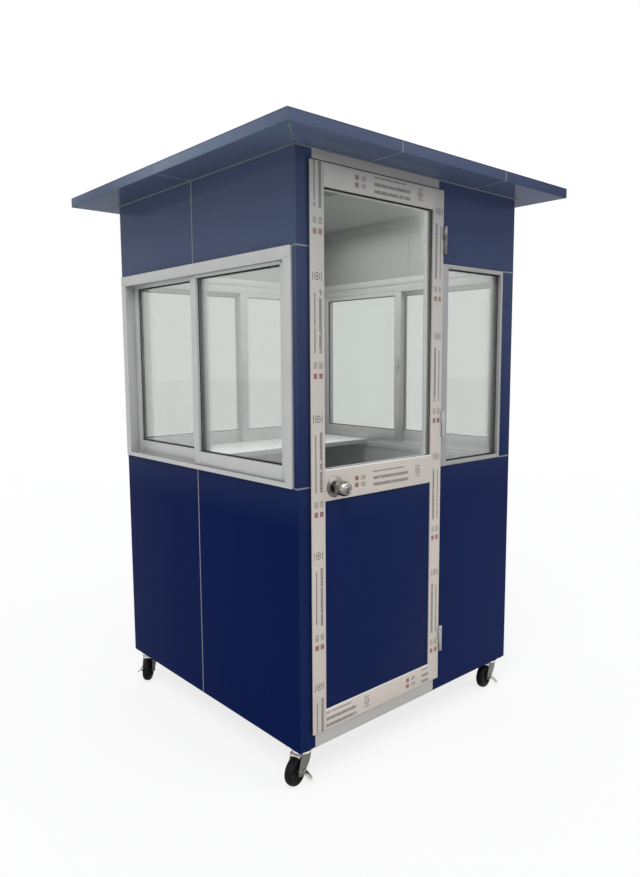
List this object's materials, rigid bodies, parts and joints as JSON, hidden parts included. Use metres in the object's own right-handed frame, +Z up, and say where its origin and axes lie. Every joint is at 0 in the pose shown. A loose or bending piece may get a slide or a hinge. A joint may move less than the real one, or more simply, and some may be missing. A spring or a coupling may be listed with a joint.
{
  "type": "security guard booth",
  "caption": "Square security guard booth on swivel castors: navy composite panel walls, sliding windows, glazed door, flat overhanging roof and a desk inside.",
  "frame": {"origin": "on the ground under the middle of the plan", "axes": "+Z up, door wall facing -Y, +X towards the door's hinge side"},
  "size_m": [1.5, 1.5, 2.168],
  "materials": {
    "navy_panel": "satin navy coil coating",
    "sealant": "grey silicone",
    "steel_frame": "galvanised tube",
    "wall_board": "matt light grey board",
    "floor_board": "vinyl faced board",
    "white_board": "satin white",
    "desk_edge": "grey edging",
    "window_aluminium": "silver powder coat",
    "door_film": "protective film on aluminium",
    "clear_glass": "clear",
    "stainless": "satin",
    "castor_zinc": "zinc plated",
    "castor_rubber": "matt black",
    "pedal_chrome": "bright plated"
  },
  "bodies": {
    "booth": {"base_side_tubes": "steel_frame", "base_cross_tubes": "steel_frame", "floor_deck": "floor_board", "corner_posts": "steel_frame", "left_wall_core": "wall_board", "right_wall_core": "wall_board", "back_wall_core": "wall_board", "front_wall_core": "wall_board", "cladding_lower": "navy_panel", "cladding_middle": "navy_panel", "cladding_upper": "navy_panel", "silicone_joints": "sealant", "wall_lining": "wall_board", "roof_core": "steel_frame", "roof_sheet": "navy_panel", "fascia": "navy_panel", "soffit": "navy_panel", "ceiling": "white_board", "cornice": "white_board", "left_window_frame": "window_aluminium", "right_window_frame": "window_aluminium", "back_window_frame": "window_aluminium", "front_window_frame": "window_aluminium", "outer_sashes": "window_aluminium", "inner_sashes": "window_aluminium", "window_glass": "clear_glass", "window_casings": "window_aluminium", "door_jambs": "window_aluminium", "door_head": "window_aluminium", "threshold": "window_aluminium", "frame_hinges": "stainless", "desk_top": "white_board", "desk_edging": "desk_edge", "castor_plates": "castor_zinc"},
    "door": {"door_stiles": "door_film", "door_rails": "door_film", "door_glass": "clear_glass", "door_panel": "navy_panel", "door_hinges": "stainless", "lock_roses": "stainless", "lock_faceplate": "stainless"},
    "knob": {"outer_knob": "stainless", "inner_knob": "stainless"},
    "front_left_castor": {"front_left_fork": "castor_zinc"},
    "front_left_tyre": {"front_left_wheel": "castor_rubber"},
    "front_left_lever": {"front_left_pedal": "pedal_chrome"},
    "front_right_castor": {"front_right_fork": "castor_zinc"},
    "front_right_tyre": {"front_right_wheel": "castor_rubber"},
    "front_right_lever": {"front_right_pedal": "pedal_chrome"},
    "back_left_castor": {"back_left_fork": "castor_zinc"},
    "back_left_tyre": {"back_left_wheel": "castor_rubber"},
    "back_left_lever": {"back_left_pedal": "pedal_chrome"},
    "back_right_castor": {"back_right_fork": "castor_zinc"},
    "back_right_tyre": {"back_right_wheel": "castor_rubber"},
    "back_right_lever": {"back_right_pedal": "pedal_chrome"}
  },
  "joints": [
    {"name": "door_hinge", "type": "hinge", "parent": "booth", "child": "door", "pos_m": [0.124, -0.613, 1.1], "axis": [0, 0, 1], "range_deg": [0, 160]},
    {"name": "knob_turn", "type": "hinge", "parent": "door", "child": "knob", "pos_m": [-0.448, -0.612, 1.0375], "axis": [0, -1, 0], "range_deg": [-60, 60], "stiffness_Nm_per_rad": 0.3},
    {"name": "front_left_swivel", "type": "hinge", "parent": "booth", "child": "front_left_castor", "pos_m": [-0.55, -0.55, 0.11], "axis": [0, 0, 1], "continuous": true},
    {"name": "front_left_roll", "type": "hinge", "parent": "front_left_castor", "child": "front_left_tyre", "pos_m": [-0.59057, -0.56087, 0.05], "axis": [-0.2588, 0.9659, 0], "continuous": true},
    {"name": "front_left_brake", "type": "hinge", "parent": "front_left_castor", "child": "front_left_lever", "pos_m": [-0.59057, -0.56087, 0.05], "axis": [-0.2588, 0.9659, 0], "range_deg": [0, 18]},
    {"name": "front_right_swivel", "type": "hinge", "parent": "booth", "child": "front_right_castor", "pos_m": [0.55, -0.55, 0.11], "axis": [0, 0, 1], "continuous": true},
    {"name": "front_right_roll", "type": "hinge", "parent": "front_right_castor", "child": "front_right_tyre", "pos_m": [0.50864, -0.55729, 0.05], "axis": [-0.1736, 0.9848, 0], "continuous": true},
    {"name": "front_right_brake", "type": "hinge", "parent": "front_right_castor", "child": "front_right_lever", "pos_m": [0.50864, -0.55729, 0.05], "axis": [-0.1736, 0.9848, 0], "range_deg": [0, 18]},
    {"name": "back_left_swivel", "type": "hinge", "parent": "booth", "child": "back_left_castor", "pos_m": [-0.55, 0.55, 0.11], "axis": [0, 0, 1], "continuous": true},
    {"name": "back_left_roll", "type": "hinge", "parent": "back_left_castor", "child": "back_left_tyre", "pos_m": [-0.57864, 0.51928, 0.05], "axis": [-0.7314, 0.682, 0], "continuous": true},
    {"name": "back_left_brake", "type": "hinge", "parent": "back_left_castor", "child": "back_left_lever", "pos_m": [-0.57864, 0.51928, 0.05], "axis": [-0.7314, 0.682, 0], "range_deg": [0, 18]},
    {"name": "back_right_swivel", "type": "hinge", "parent": "booth", "child": "back_right_castor", "pos_m": [0.55, 0.55, 0.11], "axis": [0, 0, 1], "continuous": true},
    {"name": "back_right_roll", "type": "hinge", "parent": "back_right_castor", "child": "back_right_tyre", "pos_m": [0.51783, 0.523, 0.05], "axis": [-0.6428, 0.766, 0], "continuous": true},
    {"name": "back_right_brake", "type": "hinge", "parent": "back_right_castor", "child": "back_right_lever", "pos_m": [0.51783, 0.523, 0.05], "axis": [-0.6428, 0.766, 0], "range_deg": [0, 18]}
  ]
}
